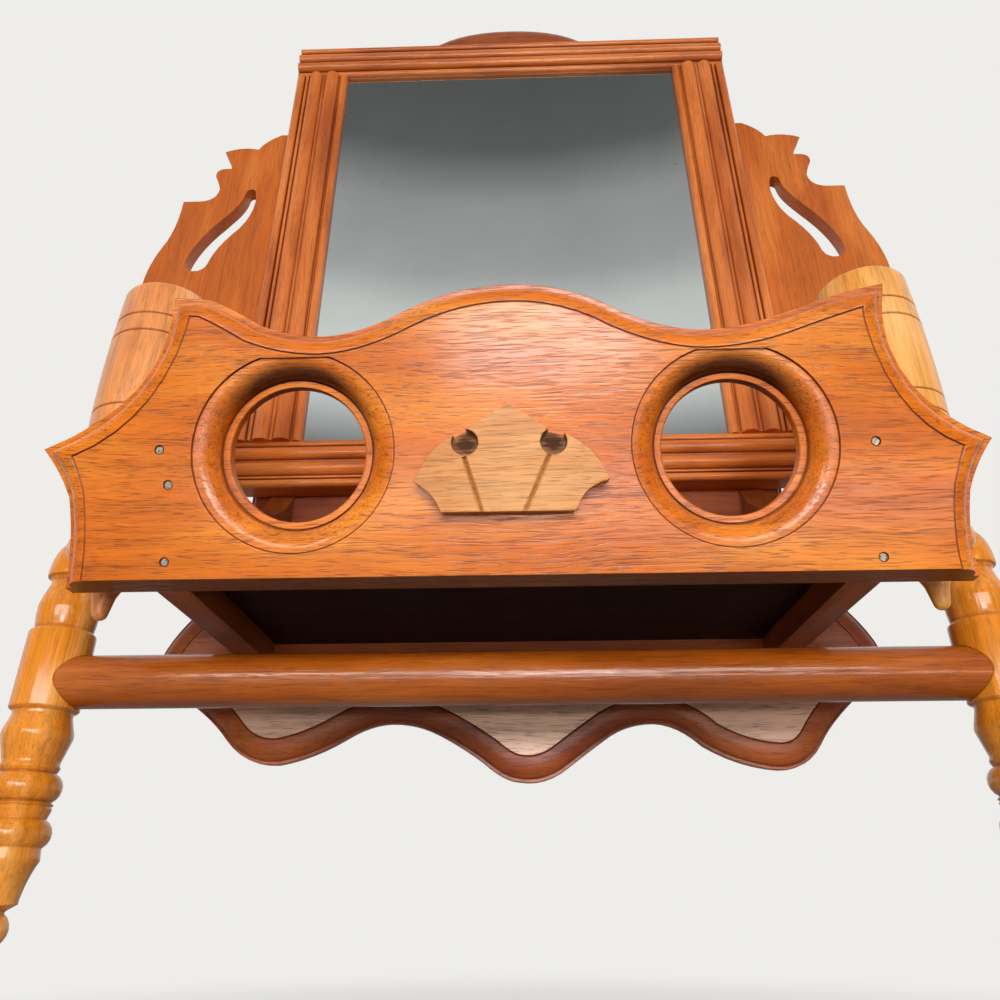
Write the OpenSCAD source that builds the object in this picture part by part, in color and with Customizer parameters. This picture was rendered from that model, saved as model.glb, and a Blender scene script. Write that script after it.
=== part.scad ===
// Wall-hung shaving mirror with a slanted comb box, two turned cups and a towel rail.
// Millimetres. X runs to the viewer's right, Z up, and the wall is the plane Y = 0 behind it.
// The origin lies on the wall, on the centre line, level with the underside of the comb box.

/* [Mirror frame] */
// Width of the glass that shows
sight_w = 266; // [250:1:285]
// Height of the glass that shows
sight_h = 350; // [320:1:420]
// Width of the reeded moulding on the two stiles
stile_w = 41; // [37:1:46]
// Height of the reeded top and bottom rails
rail_h = 33; // [30:1:38]
// Thickness of the frame
frame_t = 16; // [14:0.5:20]
// Height of the frame's lower edge above the underside of the box
frame_z = 105.5; // [102:0.5:112]
// Depth of the rebate that holds the glass, from the frame's back
rebate_d = 8; // [7.5:0.5:9]
// Width of the rebate behind the sight edge
rebate_w = 7; // [6:0.5:9]
// Thickness of the glass
glass_t = 3; // [2:0.5:4]
// Thickness of the board behind the glass
backing_t = 3; // [2:0.5:4]

/* [Back boards] */
// Thickness of the ears, the apron board and the crest board
board_t = 10; // [9:0.5:13]
// How far the ears reach outside the stiles
ear_reach = 93; // [80:1:105]
// Height of the ears
ear_h = 318; // [290:1:335]
// Width of the curved slot in each ear
slot_w = 17; // [12:0.5:20]
// How far the apron's middle point hangs below the box
apron_drop = 62; // [52:1:72]
// Half width of the apron at its widest
apron_reach = 203; // [190:1:212]
// Height of the crest above the frame
crest_rise = 44; // [30:1:60]

/* [Comb box] */
// Width over the box sides
box_w = 300; // [280:1:310]
// Depth of the box at its underside, from the apron board to the front panel
box_d = 120; // [110:1:128]
// Thickness of the box sides
side_t = 14; // [11:0.5:16]
// Thickness of the bottom board
bottom_t = 8; // [6:0.5:10]
// How far the bottom board is set up inside the sides
bottom_rise = 12; // [8:0.5:16]

/* [Front panel] */
// Width between the side tips of the panel
panel_w = 394; // [380:1:410]
// Height of the panel's hump along the slant
panel_h = 123; // [118:1:130]
// Thickness of the panel
panel_t = 13; // [11:0.5:15]
// Forward lean of the panel from the upright
panel_lean = 20.5; // [16:0.5:25]
// Diameter of the two round holes
hole_d = 57; // [48:0.5:60]
// Distance from the centre line to each hole's centre
hole_x = 90; // [86:0.5:96]
// Height of the holes' centres along the slant
hole_s = 51.5; // [50:0.5:53]
// Thickness of the fan-shaped ornament
ornament_t = 7; // [4:0.5:9]

/* [Cups] */
// Diameter of each cup at its fullest
cup_d = 48; // [44:0.5:52]
// Distance from the centre line to each cup's axis
cup_x = 183; // [181:0.5:188]
// Distance from the wall to each cup's axis
cup_y = 111; // [100:0.5:114]
// Height of the cups' rims above the underside of the box
cup_top = 168; // [160:1:180]
// Length of each cup's barrel
barrel_h = 96; // [90:1:104]
// Diameter of the hollow in each cup
cup_bore_d = 34; // [28:0.5:36]
// Depth of the hollow in each cup
cup_bore_h = 68; // [50:1:72]
// Diameter of the pegs between the box and the cups
cup_peg_d = 10; // [8:0.5:12]

/* [Posts and towel rail] */
// Distance from the centre line to each post's axis
post_x = 222; // [216:0.5:228]
// Distance from the wall to the posts' axes
post_y = 70; // [60:0.5:80]
// Height of the posts' domes above the underside of the box
post_top = 48.5; // [46:0.5:54]
// Diameter of the plain sleeve that holds the towel rail
sleeve_d = 30; // [29:0.5:36]
// Depth of the towel rail's axis below the underside of the box
rail_drop = 23; // [20:0.5:24]
// Diameter of the towel rail
towel_d = 25; // [20:0.5:25]
// Depth of the blind holes that the rail's ends turn in
socket_d = 12; // [8:0.5:14]
// Diameter of the pegs between the box and the posts
post_peg_d = 12; // [10:0.5:14]

/* [Fasteners] */
// Diameter of the nails' shanks
nail_d = 1.8; // [1.4:0.1:2.4]
// Length of the nails
nail_l = 32; // [28:1:38]
// Diameter of the screws' shanks
screw_d = 3.5; // [3:0.1:4]
// Diameter of the hangers' entry holes
hanger_hole_d = 9; // [8:0.5:10]

/* [Hidden] */

// Colours
panel_brown = "#b9661f";
frame_brown = "#c06a28";
turned_brown = "#c98538";
backing_brown = "#8a6a45";
glass_grey = "#a9b2ae";
brass = "#b08d45";
steel = "#9a9a98";

// Fits
joint_gap = 0.1; // round a tenon or a peg in its hole
turn_gap = 0.08; // round the towel rail in its sockets
end_gap = 0.3; // between the rail's end and the bottom of its socket
lay_gap = 0.2; // between the glass or its backing and the sides of the rebate

// Smoothness of round shapes and of the curves in the outlines
round_fn = 48;
small_fn = 24;
curve_n = 6;
eps = 0.01; // overshoot of a cut past a face

// Mirror frame
frame_back = -board_t;
frame_front = frame_back - frame_t;
half_sight = sight_w / 2;
half_frame = half_sight + stile_w;
sight_z = frame_z + rail_h;
sight_top = sight_z + sight_h;
frame_top = sight_top + rail_h;
tenon_l = 15;
tenon_t = 5;
tenon_w = stile_w - rebate_w - 10;
tenon_x = half_sight + rebate_w + 4;
tenon_y = frame_back - rebate_d / 2 - tenon_t / 2;
reed_base = 0.7; // share of the frame's thickness under the reeds

// Glass and its backing
glass_front = frame_back - rebate_d;
pin_l = 12;
pin_d = 1.4;

// Back boards
lap = 22; // how far the ears lie behind the stiles
ear_x = half_frame - lap;
ear_drawn_reach = 93;
ear_drawn_h = 318;
ear_z = frame_z + 9.5;
apron_top = frame_z + rail_h - 4;
apron_drawn_drop = 62;
apron_drawn_reach = 203;
crest_foot = sight_top + 8;
crest_half = half_frame - 4;

// Moulded edge of the apron and the crest: distance in from the edge, height above the back,
// the height as a share of the board
lip_w = 1.6;
lip_share = 0.4;
apron_mould_w = 13;
apron_shoulder = box_w / 2 + apron_mould_w + 1;
apron_neck = ear_x - 2.5;
// Moulded border of the front panel
panel_lip_w = 2.5;
panel_lip_share = 0.42;
panel_mould_w = 10.5;

// Comb box
half_box = box_w / 2;
box_back = -board_t;
panel_back_y = box_back - box_d;
lean_tan = tan(panel_lean);
panel_front_y = panel_back_y - panel_t / cos(panel_lean);
side_front_h = 72; // height of a side where it meets the panel
side_dip_y = 35; // control depth, in front of the apron board, of the hollow in a side's top edge
side_dip_h = 50; // and its control height

// Front panel in its own plane
panel_drawn_w = 394;
panel_drawn_h = 123;
panel_foot = -10; // the blank's lower edge, before it is sawn level with the box's underside
ring_r = hole_d / 2 + 13.5; // outer radius of the dish round a hole
rim_w = 3.2; // the flat rim round the opening
rim_z = 4.6; // its height above the panel's back
dish_top = 90.9; // height along the slant at which the panel's border cuts the dishes off
ornament_foot = 24.9;

// Nails through the panel into the sides
side_mid = half_box - side_t / 2;
nail_left = [[side_mid - 1.5, 7], [side_mid - 2, 38.5], [side_mid + 2, 53]];
nail_right = [[side_mid + 3, 5], [side_mid + 3, 51.5]];
nail_sink_d = 4;
nail_sink_h = 1.4;
nail_head_d = 3;
nail_head_t = 1;

// Cups
cup_r = cup_d / 2;
cup_foot = cup_top - barrel_h;
cup_tip = -6;
cup_ball_z = 25; // height of the ball below a cup's barrel
cup_ball_r = 19.5;
cup_peg_z = cup_ball_z;
peg_in = 9; // how far a peg goes into a box side
cup_peg_in = 15; // and into a cup's ball

// Posts and rail
sleeve_r = sleeve_d / 2;
towel_r = towel_d / 2;
sleeve_top = 1.5;
sleeve_foot = -36.5;
post_foot = -134;
post_peg_z = post_top - 11.5;
post_peg_in = 14;
rail_half = post_x - sleeve_r + socket_d;

// Fasteners
screw_head_d = 2 * screw_d;
screw_l = 20;
hanger_l = 46;
hanger_plate_w = 18;
hanger_t = 1.6;
hanger_slot_d = 4.4;
hanger_rise = 12; // from the entry hole up to the end of its slot
hanger_x = ear_x + 13;
hanger_z = ear_z + ear_h - 36;
hanger_pocket_d = 7;
small_screw_d = 2.6;
small_screw_l = 9;

// Functions for outlines

// Points of a curve from a to c that is pulled towards b, without its last point
function curve(a, b, c, n = curve_n) = [
    for (i = [0:n - 1]) let (t = i / n) (1 - t) * (1 - t) * a + 2 * t * (1 - t) * b + t * t * c
];

// Outline through knots: each is [point] for a straight stretch or [point, control] for a curved one
function trace(knots) = [
    for (i = [0:len(knots) - 1])
        let (a = knots[i], c = knots[(i + 1) % len(knots)][0])
        each (len(a) == 1 ? [a[0]] : curve(a[0], a[1], c))
];

// As trace, but with the last knot as the end of the line
function trace_open(knots) = concat([
    for (i = [0:len(knots) - 2])
        let (a = knots[i], c = knots[i + 1][0])
        each (len(a) == 1 ? [a[0]] : curve(a[0], a[1], c))
], [knots[len(knots) - 1][0]]);

function flip(p) = [-p.x, p.y];

// The left half's knots, in the order in which an anticlockwise outline passes them
function left_half(half) = [
    for (i = [len(half) - 1:-1:0])
        concat([flip(half[i][0])], i == 0 || len(half[i - 1]) == 1 ? [] : [flip(half[i - 1][1])])
];

// A whole outline's knots from its right half and its left one, drawn as a mirror image. Both start or
// end on the centre line. The straight side from the last knot back to the first isn't in them.
function whole(right, mirrored) =
    let (left = left_half(mirrored))
    right[0][0].x == 0
        ? concat([for (i = [0:len(left) - 2]) left[i]], right)
        : concat([for (i = [0:len(right) - 2]) right[i]], left);

function both_halves(half) = whole(half, half);

// Points on an arc about [x, y]
function arc(x, y, r, from, to, n) = [
    for (i = [0:n]) let (t = from + (to - from) * i / n) [x + r * cos(t), y + r * sin(t)]
];

function unit(v) = v / norm(v);

function left_of(v) = [-v.y, v.x];

// The mitre between two ways of running, u and then v, that lies a in from the first and b in from the second
function mitre(u, v, a, b) =
    let (c = u.x * v.y - u.y * v.x)
    abs(c) < 0.02 ? a * unit(left_of(u) + left_of(v)) : [(v.x * a - u.x * b) / c, (v.y * a - u.y * b) / c];

// A polygon that runs anticlockwise with its sides moved in by a distance, apart from the last one,
// from the last point back to the first, which stays
function moved_in(p, distance) =
    let (n = len(p))
    [for (i = [0:n - 1])
        p[i] + mitre(
            unit(p[i] - p[(i - 1 + n) % n]),
            unit(p[(i + 1) % n] - p[i]),
            i == 0 ? 0 : distance,
            i == n - 1 ? 0 : distance
        )];

function first_of(knots, i) = i == 0 ? 0 : first_of(knots, i - 1) + len(knots[i - 1]);

// Knots moved in with their controls, so that the curves keep their form
function inset(knots, distance) =
    let (moved = moved_in([for (k = knots) each k], distance))
    [for (i = [0:len(knots) - 1])
        let (f = first_of(knots, i)) [for (j = [0:len(knots[i]) - 1]) moved[f + j]]];

// The moulded edge of a board, lofted along its outline through rings of [distance in, height].
// It stops at the outline's last side, which is sawn off plain.
module moulded_edge(knots, rings) {
    m = len(rings);
    lines = [for (ring = rings) trace_open(inset(knots, ring[0]))];
    n = len(lines[0]);
    points = [for (k = [0:m - 1]) for (q = lines[k]) [q.x, q.y, rings[k][1]]];
    walls = [
        for (k = [0:m - 1])
            for (i = [0:n - 2])
                let (next = (k + 1) % m)
                each [
                    [k * n + i, next * n + i + 1, k * n + i + 1],
                    [k * n + i, next * n + i, next * n + i + 1]
                ]
    ];
    ends = [[for (k = [0:m - 1]) k * n + n - 1], [for (k = [m - 1:-1:0]) k * n]];
    polyhedron(points, concat(walls, ends));
}

// The flat field inside a moulded edge
module board_field(knots, width, t) {
    linear_extrude(t) polygon(trace_open(inset(knots, width)));
}

// Section of a moulded edge: a flat lip, a quirk, a rounded swell and a fine groove before the field
function edge_rings(lip, lip_z, width, t, steps = 5) = concat(
    [[0, 0], [0, lip_z], [lip, lip_z], [lip + 0.3, lip_z + 0.16 * (t - lip_z)]],
    [
        for (i = [1:steps])
            let (a = 90 * i / steps, foot = lip_z + 0.16 * (t - lip_z))
            [lip + 0.3 + (width - lip - 1.3) * (1 - cos(a)), foot + (t - 0.5 - foot) * sin(a)]
    ],
    [[width - 0.6, t - 1], [width, t], [width, 0]]
);

// Mirror frame

// Section of a reeded moulding, w wide from the sight edge outwards, with the rebate at its back.
// Its Y runs from the back (0) to the front.
module reeded_section(w) {
    base = frame_t * reed_base;
    reed_r = 0.145 * w;
    bead_r = 0.035 * w;
    sight_bead_r = 0.075 * w;
    difference() {
        union() {
            translate([0, 0]) square([w, base]);
            translate([sight_bead_r, base - sight_bead_r * 0.5]) circle(r = sight_bead_r, $fn = round_fn);
            for (c = [0.3, 0.615])
                translate([c * w, frame_t - reed_r]) circle(r = reed_r, $fn = round_fn);
            translate([0.92 * w, frame_t - 1.6 - 0.08 * w]) circle(r = 0.08 * w, $fn = round_fn);
            translate([0.84 * w, 0]) square([0.16 * w, frame_t - 1.6 - 0.08 * w]);
            for (c = [0.455, 0.79])
                translate([c * w, base + bead_r * 0.4]) circle(r = bead_r, $fn = small_fn);
        }
        translate([-1, -eps]) square([rebate_w + 1, rebate_d + eps]);
    }
}

// A stile stands on the bottom rail under the top one, with a tenon at each end
module stile(side) {
    color(frame_brown)
    mirror([side < 0 ? 1 : 0, 0, 0]) {
        translate([half_sight, frame_back, sight_z])
            mirror([0, 1, 0]) linear_extrude(sight_h) reeded_section(stile_w);
        for (z = [sight_z - tenon_l, sight_top])
            translate([tenon_x, tenon_y - tenon_t / 2, z]) cube([tenon_w, tenon_t, tenon_l]);
    }
}

module left_stile() stile(-1);
module right_stile() stile(1);

// A rail runs across under or over both stiles; dir is 1 where its sight edge is its upper one
module rail(dir) {
    z = dir > 0 ? sight_z : sight_top;
    difference() {
        translate([0, frame_back, z])
            rotate([0, dir > 0 ? 90 : -90, 0])
            mirror([0, 1, 0])
            translate([0, 0, -half_frame])
            linear_extrude(2 * half_frame) rail_section();
        for (side = [-1, 1])
            translate([
                side * (tenon_x + tenon_w / 2) - tenon_w / 2 - joint_gap,
                tenon_y - tenon_t / 2 - joint_gap,
                dir > 0 ? z - tenon_l - joint_gap : z - 1
            ])
            cube([tenon_w + 2 * joint_gap, tenon_t + 2 * joint_gap, tenon_l + joint_gap + 1]);
        translate([-half_sight - rebate_w, frame_back - rebate_d, dir > 0 ? z - rebate_w : z - eps])
            cube([2 * (half_sight + rebate_w), rebate_d + 1, rebate_w + eps]);
    }
}

// The rails' section is the stiles' reeding at their own height, with its rebate cut afterwards
module rail_section() {
    union() {
        reeded_section(rail_h);
        square([rebate_w + eps, rebate_d + eps]);
    }
}

module bottom_rail() color(frame_brown) rail(1);
module top_rail() color(frame_brown) rail(-1);

module in_rebate(t, y) {
    translate([-half_sight - rebate_w + lay_gap, y, sight_z - rebate_w + lay_gap])
        cube([sight_w + 2 * (rebate_w - lay_gap), t, sight_h + 2 * (rebate_w - lay_gap)]);
}

module mirror_glass() color(glass_grey) in_rebate(glass_t, glass_front);
module mirror_backing() color(backing_brown) in_rebate(backing_t, glass_front + glass_t);

// Pins driven through the edge of the rebate, level with the backing's back face
module backing_pins() {
    y = glass_front + glass_t + backing_t + pin_d / 2;
    reach = rebate_w - 4;
    color(steel) {
        for (side = [-1, 1], k = [0.15, 0.5, 0.85])
            translate([side * (half_sight + reach), y, sight_z + k * sight_h])
                rotate([0, side * 90, 0]) cylinder(d = pin_d, h = pin_l, $fn = small_fn);
        for (k = [-0.3, 0.3]) {
            translate([k * sight_w, y, sight_top + reach]) cylinder(d = pin_d, h = pin_l, $fn = small_fn);
            translate([k * sight_w, y, sight_z - reach - pin_l]) cylinder(d = pin_d, h = pin_l, $fn = small_fn);
        }
    }
}

// Back boards

// A point of the drawn ear, given as distance outside the stile and height above the ear's foot
function ear_at(x, z) = [half_frame + x * ear_reach / ear_drawn_reach, ear_z + z * ear_h / ear_drawn_h];

// Half-scalloped top, a beak, two thumbs and a long bow that comes back in at the foot
function ear_outline() = trace([
    [[ear_x, ear_z + 6]],
    [ear_at(-3, 6)],
    [ear_at(4, 0), ear_at(20, 4)],
    [ear_at(36, 24), ear_at(66, 64)],
    [ear_at(84, 108), ear_at(93, 138)],
    [ear_at(92.5, 164), ear_at(92, 182)],
    [ear_at(84.5, 200), ear_at(77, 216)],
    [ear_at(77, 246)],
    [ear_at(65, 246), ear_at(52, 246)],
    [ear_at(51, 258), ear_at(52, 264)],
    [ear_at(56, 272), ear_at(58, 280)],
    [ear_at(50, 281)],
    [ear_at(45, 281), ear_at(46.5, 289)],
    [ear_at(53, 300), ear_at(40, 306)],
    [ear_at(26.5, 302), ear_at(22.5, 311)],
    [ear_at(10, 318)],
    [[ear_x, ear_z + ear_h]]
]);

// The curved slot: discs along its bent middle line, joined two by two
module ear_slot() {
    middle = concat(
        curve(ear_at(26, 254), ear_at(24.5, 240), ear_at(36.5, 222)),
        curve(ear_at(36.5, 222), ear_at(53, 202), ear_at(56.5, 184)),
        [ear_at(56.5, 184)]
    );
    n = len(middle);
    function width(i) = slot_w * (0.42 + 0.58 * min(1, 2.2 * i / (n - 1)));
    polygon(concat(
        [for (i = [0:n - 1]) middle[i] + width(i) / 2 * side_way(middle, i)],
        [for (k = [1:5]) let (d = -side_way(middle, n - 1), f = [-d.y, d.x])
            middle[n - 1] - width(n - 1) / 2 * (d * cos(30 * k) - f * sin(30 * k))],
        [for (i = [n - 1:-1:0]) middle[i] - width(i) / 2 * side_way(middle, i)],
        [for (k = [1:5]) let (d = side_way(middle, 0), f = [-d.y, d.x])
            middle[0] - width(0) / 2 * (d * cos(30 * k) - f * sin(30 * k))]
    ));
}

// The way square to a line of points, at point i
function side_way(p, i) =
    let (t = unit(p[min(i + 1, len(p) - 1)] - p[max(i - 1, 0)])) [-t.y, t.x];

module ear(side) {
    color(frame_brown)
    mirror([side < 0 ? 1 : 0, 0, 0])
    difference() {
        rotate([90, 0, 0]) linear_extrude(board_t) difference() {
            polygon(ear_outline());
            ear_slot();
        }
        for (z = ear_screw_z) screw_hole(half_frame - lap / 2, z);
        hanger_recess();
    }
}

module left_ear() ear(-1);
module right_ear() ear(1);

// A point of the drawn apron; heights below the box follow the drop, those above it the frame
function apron_at(x, z) = [
    x * apron_reach / apron_drawn_reach,
    z < 0 ? z * apron_drop / apron_drawn_drop : z
];

// The two halves were sawn by eye, so their scallops differ a little
function apron_right_knots() = concat([
    [apron_at(0, -61.5), apron_at(14, -64)],
    [apron_at(27, -54), apron_at(40, -44.5)],
    [apron_at(50, -38), apron_at(60, -32)],
    [apron_at(73, -32), apron_at(86, -32.5)],
    [apron_at(98, -44), apron_at(116, -55)],
    [apron_at(136, -56.5), apron_at(151, -57)],
    [apron_at(160, -44), apron_at(167, -33)],
    [apron_at(183, -20), apron_at(201, -9)],
    [apron_at(203, 2), apron_at(201, 16)]
], apron_top_knots());

function apron_left_knots() = concat([
    [apron_at(0, -61.5), apron_at(8, -61)],
    [apron_at(19, -51.5), apron_at(31, -43)],
    [apron_at(43, -37), apron_at(55, -31)],
    [apron_at(68, -31), apron_at(80, -31)],
    [apron_at(93, -39), apron_at(110, -49)],
    [apron_at(128, -52), apron_at(146, -53)],
    [apron_at(158, -39), apron_at(167, -28)],
    [apron_at(183, -18), apron_at(201, -8)],
    [apron_at(203, 2), apron_at(201, 16)]
], apron_top_knots());

function apron_top_knots() = [
    [apron_at(183, 36)],
    [apron_at(160, 58)],
    [[apron_shoulder, 67]],
    [[apron_shoulder, frame_z + 4]],
    [[apron_neck, frame_z + 10]],
    [[apron_neck, apron_top]]
];

module apron_board() {
    knots = whole(apron_right_knots(), apron_left_knots());
    color(panel_brown) {
        rotate([90, 0, 0])
            moulded_edge(knots, edge_rings(lip_w, lip_share * board_t, apron_mould_w, board_t));
        difference() {
            rotate([90, 0, 0]) board_field(knots, apron_mould_w, board_t);
            for (x = apron_screw_x) screw_hole(x, frame_z + rail_h / 2);
            for (side = [-1, 1], z = box_screw_z) screw_hole(side * side_mid, z);
        }
    }
}

function crest_half_knots() = [
    [[crest_half, crest_foot]],
    [[crest_half, frame_top + 18], [crest_half - 30, frame_top + 1]],
    [[crest_half - 62, frame_top + 9], [crest_half - 92, frame_top + 17]],
    [[62, frame_top + 0.62 * crest_rise], [40, frame_top + crest_rise]],
    [[0, frame_top + crest_rise]]
];

module crest_board() {
    knots = both_halves(crest_half_knots());
    width = 0.8 * apron_mould_w;
    color(panel_brown) {
        rotate([90, 0, 0]) moulded_edge(knots, edge_rings(lip_w, lip_share * board_t, width, board_t, 4));
        difference() {
            rotate([90, 0, 0]) board_field(knots, width, board_t);
            for (x = crest_screw_x) screw_hole(x, frame_top - rail_h / 2);
        }
    }
}

// Screws that hold the back boards to the frame and the box sides
ear_screw_z = [sight_z + 0.12 * sight_h, sight_z + 0.62 * sight_h];
apron_screw_x = [-100, 0, 100];
crest_screw_x = [-110, 0, 110];
box_screw_z = [26, 70];

// Countersunk screw with its head level with the wall side of a board, pointing to the front
module screw(x, z, length) {
    translate([x, 0, z]) rotate([90, 0, 0]) {
        translate([0, 0, 0.4]) cylinder(d1 = screw_head_d, d2 = screw_d, h = screw_d, $fn = small_fn);
        translate([0, 0, 0.4]) cylinder(d = screw_d, h = length, $fn = small_fn);
    }
}

module screw_hole(x, z) {
    translate([x, 0, z]) rotate([90, 0, 0]) {
        translate([0, 0, -1]) cylinder(d = screw_head_d, h = 1.4, $fn = small_fn);
        translate([0, 0, 0.4 - eps]) cylinder(d1 = screw_head_d, d2 = screw_d, h = screw_d, $fn = small_fn);
        cylinder(d = screw_d, h = board_t + 1, $fn = small_fn);
    }
}

module board_screws() {
    color(steel) {
        for (side = [-1, 1], z = ear_screw_z) screw(side * (half_frame - lap / 2), z, screw_l);
        for (x = apron_screw_x) screw(x, frame_z + rail_h / 2, screw_l);
        for (x = crest_screw_x) screw(x, frame_top - rail_h / 2, screw_l);
    }
}

module box_screws() {
    color(steel) for (side = [-1, 1], z = box_screw_z) screw(side * side_mid, z, screw_l + 12);
}

// Comb box

// Puts a shape drawn in the panel's plane (X across, Y up the slant, Z out of the face) in its place
module on_panel() {
    translate([0, panel_front_y + panel_t * cos(panel_lean), panel_t * sin(panel_lean)])
        rotate([90 + panel_lean, 0, 0]) children();
}

function panel_at(x, s) = [x * panel_w / panel_drawn_w, s * panel_h / panel_drawn_h];

// The two halves were sawn by eye: the left horn leans in, and the right one stands out
function panel_right_knots() = [
    [[panel_at(188.5, 0).x, panel_foot]],
    [panel_at(185.6, 6), panel_at(184, 18)],
    [panel_at(186, 32), panel_at(189, 43)],
    [panel_at(196.5, 53.5), panel_at(166, 66)],
    [panel_at(157.5, 92), panel_at(154, 104)],
    [panel_at(156.5, 120)],
    [panel_at(140, 116.5), panel_at(127, 112.5)],
    [panel_at(110, 106.5), panel_at(95, 101.6)],
    [panel_at(79.5, 101.6), panel_at(64, 102)],
    [panel_at(46, 110.5), panel_at(24, 123.3)],
    [panel_at(0, 123)]
];

function panel_left_knots() = [
    [[panel_at(186.5, 0).x, panel_foot]],
    [panel_at(185, 6), panel_at(183.8, 20)],
    [panel_at(186, 35), panel_at(189.5, 45)],
    [panel_at(197.5, 55.5), panel_at(160, 70)],
    [panel_at(148.5, 97), panel_at(144.5, 108)],
    [panel_at(143.8, 120.4)],
    [panel_at(128, 119), panel_at(118, 114.5)],
    [panel_at(107, 107.5), panel_at(94, 102)],
    [panel_at(79.5, 102), panel_at(64, 102.5)],
    [panel_at(46, 112), panel_at(24, 123)],
    [panel_at(0, 123)]
];

// Dished hole: a groove, a rounded slope down, a fine groove and a flat rim round the opening.
// The dish stops level just under the panel's border, which was cut after it.
module panel_hole(side) {
    r = hole_d / 2;
    t = panel_t;
    foot_r = r + rim_w + 0.4;
    foot_z = rim_z - 0.3;
    slope_w = ring_r - 0.5 - foot_r;
    slope_h = t - 0.8 - foot_z;
    slope = [for (i = [0:8]) let (a = 11.25 * i) [foot_r + slope_w * (1 - cos(a)), foot_z + slope_h * sin(a)]];
    intersection() {
        translate([side * hole_x, hole_s, 0])
            rotate_extrude($fn = 96)
            polygon(concat(
                [[0, -1], [r, -1], [r, rim_z - 0.5], [r + 0.5, rim_z], [r + rim_w - 0.3, rim_z], [r + rim_w, rim_z - 0.7]],
                slope,
                [[ring_r - 0.25, t - 1.3], [ring_r, t], [ring_r, t + 1], [0, t + 1]]
            ));
        translate([side * hole_x - 60, hole_s - 60, -2])
            cube([120, panel_at(0, dish_top).y - hole_s + 60, t + 4]);
    }
}

module front_panel() {
    knots = whole(panel_right_knots(), panel_left_knots());
    color(panel_brown)
    difference() {
        on_panel() {
            moulded_edge(knots, edge_rings(panel_lip_w, panel_lip_share * panel_t, panel_mould_w, panel_t));
            difference() {
                board_field(knots, panel_mould_w, panel_t);
                for (side = [-1, 1]) panel_hole(side);
                at_panel_nails() translate([0, 0, panel_t - nail_sink_h])
                    cylinder(d = nail_sink_d, h = nail_sink_h + 1, $fn = small_fn);
            }
        }
        translate([-panel_w, panel_front_y - 60, -80]) cube([2 * panel_w, 140, 80]);
    }
}

module at_panel_nails() {
    for (at = nail_left) translate([-at.x, at.y, 0]) children();
    for (at = nail_right) translate([at.x, at.y, 0]) children();
}

module panel_nails() {
    color(steel) on_panel() at_panel_nails() {
        translate([0, 0, panel_t - nail_sink_h]) cylinder(d = nail_head_d, h = nail_head_t, $fn = small_fn);
        translate([0, 0, panel_t - nail_sink_h - nail_l])
            cylinder(d = nail_d, h = nail_l + nail_head_t / 2, $fn = small_fn);
    }
}

// Fan-shaped ornament with two drilled notches and two cut lines, all by eye
module ornament() {
    foot = ornament_foot;
    outline = trace([
        [[24.3, foot]],
        [[26, foot + 2.5], [28.5, foot + 9.8]],
        [[38.4, foot + 12.3], [34.2, foot + 24]],
        [[21.5, foot + 30.6]],
        [[14.5, foot + 32.6]],
        [[-1.5, foot + 43.5]],
        [[-17.5, foot + 33.8]],
        [[-24, foot + 30.4], [-36.2, foot + 23.8]],
        [[-39.2, foot + 12.2], [-33, foot + 8]],
        [[-30.6, foot + 4]],
        [[-28.6, foot]]
    ]);
    notches = [[-19, foot + 27.8], [16.4, foot + 27.6]];
    // Foot and top of each cut line
    lines = [[[-11.5, foot - 3], [-19.4, foot + 22]], [[3.4, foot - 3], [14.6, foot + 22.5]]];
    color(panel_brown)
    on_panel() difference() {
        translate([0, 0, panel_t]) linear_extrude(ornament_t) polygon(outline);
        for (at = notches)
            translate([at.x, at.y, panel_t + 2]) cylinder(r = 5.4, h = ornament_t, $fn = round_fn);
        for (l = lines)
            translate([l[0].x, l[0].y, panel_t + ornament_t])
                rotate([0, 0, -atan((l[1].x - l[0].x) / (l[1].y - l[0].y))])
                rotate([0, 45, 0])
                translate([-0.8, 0, -0.8])
                cube([1.6, norm(l[1] - l[0]), 1.6]);
    }
}

// A side board, seen from its end: level foot, hollow top, and a front edge that follows the panel's back
module box_side(side) {
    outline = concat(
        [
            [box_back, 0],
            [panel_back_y, 0],
            [panel_back_y - side_front_h * lean_tan, side_front_h]
        ],
        curve(
            [panel_back_y - side_front_h * lean_tan, side_front_h],
            [box_back - side_dip_y, side_dip_h],
            [box_back, frame_z]
        ),
        [[box_back, frame_z]]
    );
    color(panel_brown)
    difference() {
        translate([side > 0 ? half_box - side_t : -half_box, 0, 0])
            rotate([90, 0, 90]) linear_extrude(side_t) polygon(outline);
        peg_hole(side, cup_y, cup_peg_z, cup_peg_d);
        peg_hole(side, post_y, post_peg_z, post_peg_d);
    }
}

// Blind hole for a peg in the outer face of a box side
module peg_hole(side, y, z, d) {
    translate([side * half_box, -y, z]) rotate([0, -side * 90, 0])
        translate([0, 0, -1]) cylinder(d = d + 2 * joint_gap, h = peg_in + 1 + joint_gap, $fn = round_fn);
}

module left_box_side() box_side(-1);
module right_box_side() box_side(1);

// Bottom board between the sides, its front edge bevelled to the panel's back
module box_bottom() {
    z0 = bottom_rise;
    z1 = bottom_rise + bottom_t;
    color(panel_brown)
    translate([-half_box + side_t, 0, 0])
        rotate([90, 0, 90]) linear_extrude(box_w - 2 * side_t)
        polygon([
            [box_back, z0],
            [panel_back_y - z0 * lean_tan, z0],
            [panel_back_y - z1 * lean_tan, z1],
            [box_back, z1]
        ]);
}

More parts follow.
